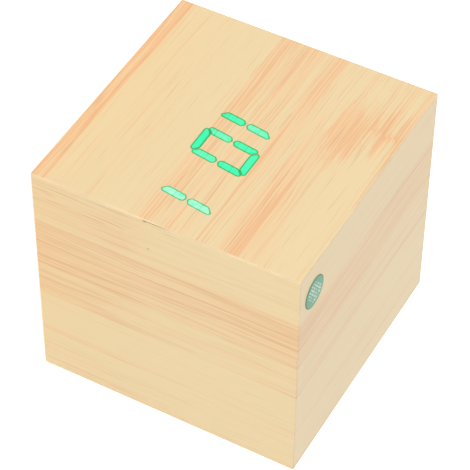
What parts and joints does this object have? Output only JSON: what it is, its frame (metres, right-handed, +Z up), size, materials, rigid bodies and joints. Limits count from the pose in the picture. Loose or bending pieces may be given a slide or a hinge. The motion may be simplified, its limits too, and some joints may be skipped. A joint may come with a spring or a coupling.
{
  "type": "digital desk clock",
  "caption": "Wood-film cube desk clock: slanted green lit digits behind a printed wood front, screwed rear cover with sprung keys, supply socket and hinged battery door.",
  "frame": {"origin": "Middle of the underside that stands on the table.", "axes": "+Z up, -Y out of the lit front, +X to the right seen from the front."},
  "size_m": [0.0636, 0.06, 0.0636],
  "materials": {
    "fibreboard": "raw sawn fibreboard",
    "wood_film": "satin printed bamboo film",
    "sticker": "coated paper",
    "display_plastic": "moulded, matte",
    "lit_resin": "glowing cast resin",
    "dark_resin": "milky cast resin",
    "light_chip": "clear coated",
    "circuit_board": "green lacquer",
    "tinned_metal": "tinned",
    "contact_metal": "nickel plated",
    "can_metal": "drawn can",
    "screw_steel": "zinc plated",
    "pale_plastic": "moulded, natural",
    "chip_plastic": "moulded, black",
    "cover_plastic": "fine spark texture, black",
    "key_plastic": "satin, dark grey",
    "cell_sleeve": "printed sleeve over a steel can",
    "ribbon_plastic": "grey ribbon",
    "red_insulation": "red insulation",
    "black_insulation": "black insulation"
  },
  "bodies": {
    "case": {"wall_top": "fibreboard", "wall_right": "fibreboard", "wall_bottom": "fibreboard", "wall_left": "fibreboard", "front_panel": "fibreboard", "film_top": "wood_film", "film_right": "wood_film", "film_bottom": "wood_film", "film_left": "wood_film", "front_film": "wood_film", "corner_blocks": "fibreboard", "round_label": "sticker", "display_housing": "display_plastic", "lit_segments": "lit_resin", "dark_segments": "dark_resin", "light_chips": "light_chip", "display_base": "circuit_board", "display_pins": "tinned_metal", "clock_board": "circuit_board", "board_spacers": "pale_plastic", "board_screws": "screw_steel", "controller_chip": "chip_plastic", "chip_leads": "tinned_metal", "crystal_can": "tinned_metal", "coin_holder": "cover_plastic", "coin_cell": "tinned_metal", "coin_clip": "contact_metal", "buzzer": "chip_plastic", "capacitor_can": "can_metal", "resistors": "chip_plastic", "ribbon_sockets": "pale_plastic", "ribbon_cable": "ribbon_plastic", "rear_cover": "cover_plastic", "cover_screws": "screw_steel", "cell_lower": "cell_sleeve", "cell_middle": "cell_sleeve", "cell_upper": "cell_sleeve", "contact_plates": "contact_metal", "contact_springs": "contact_metal", "red_lead": "red_insulation", "black_lead": "black_insulation", "key_board": "circuit_board", "key_board_screws": "screw_steel", "switch_bodies": "chip_plastic", "supply_socket": "cover_plastic", "socket_pin": "tinned_metal", "microphone": "can_metal", "temperature_sensor": "chip_plastic"},
    "door": {"battery_door": "cover_plastic"},
    "set_key": {"key_set": "key_plastic", "switch_stem_set": "pale_plastic"},
    "up_key": {"key_up": "key_plastic", "switch_stem_up": "pale_plastic"},
    "down_key": {"key_down": "key_plastic", "switch_stem_down": "pale_plastic"}
  },
  "joints": [
    {"name": "door_swing", "type": "hinge", "parent": "case", "child": "door", "pos_m": [0, 0.0279, 0.0127], "axis": [-1, 0, 0], "range_deg": [0, 90]},
    {"name": "set_press", "type": "slide", "parent": "case", "child": "set_key", "axis": [0, -1, 0], "range_m": [0, 0.0006], "stiffness_N_per_m": 4000},
    {"name": "up_press", "type": "slide", "parent": "case", "child": "up_key", "axis": [0, -1, 0], "range_m": [0, 0.0006], "stiffness_N_per_m": 4000},
    {"name": "down_press", "type": "slide", "parent": "case", "child": "down_key", "axis": [0, -1, 0], "range_m": [0, 0.0006], "stiffness_N_per_m": 4000}
  ]
}
